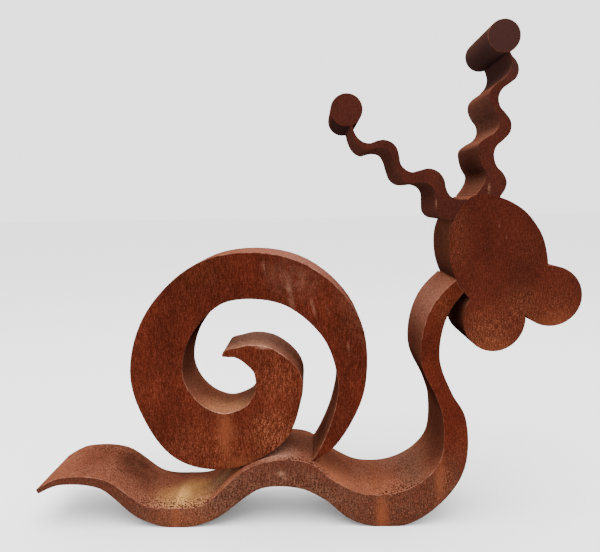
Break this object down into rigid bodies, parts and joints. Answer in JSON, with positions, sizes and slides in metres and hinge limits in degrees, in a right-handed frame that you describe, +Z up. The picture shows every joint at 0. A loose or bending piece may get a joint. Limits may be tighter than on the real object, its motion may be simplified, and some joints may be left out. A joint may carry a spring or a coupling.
{
  "type": "snail sculpture",
  "caption": "Garden sculpture of a snail in rusted steel: wavy body, spiral shell, round head, two wavy tentacles with round eyes.",
  "frame": {"origin": "on the ground, in the middle of the length and of the depth", "axes": "+X from the tail to the nose, +Y away from the viewer, +Z up"},
  "size_m": [2.5756, 0.4, 2.3228],
  "materials": {
    "rust": "rough, rusted, with worn paler weld edges",
    "dark_rust": "rough, darker rust"
  },
  "bodies": {
    "root": {"body": "rust", "shell": "rust", "head": "rust", "left_tentacle": "dark_rust", "left_eye": "dark_rust", "right_tentacle": "dark_rust", "right_eye": "dark_rust"}
  },
  "joints": []
}
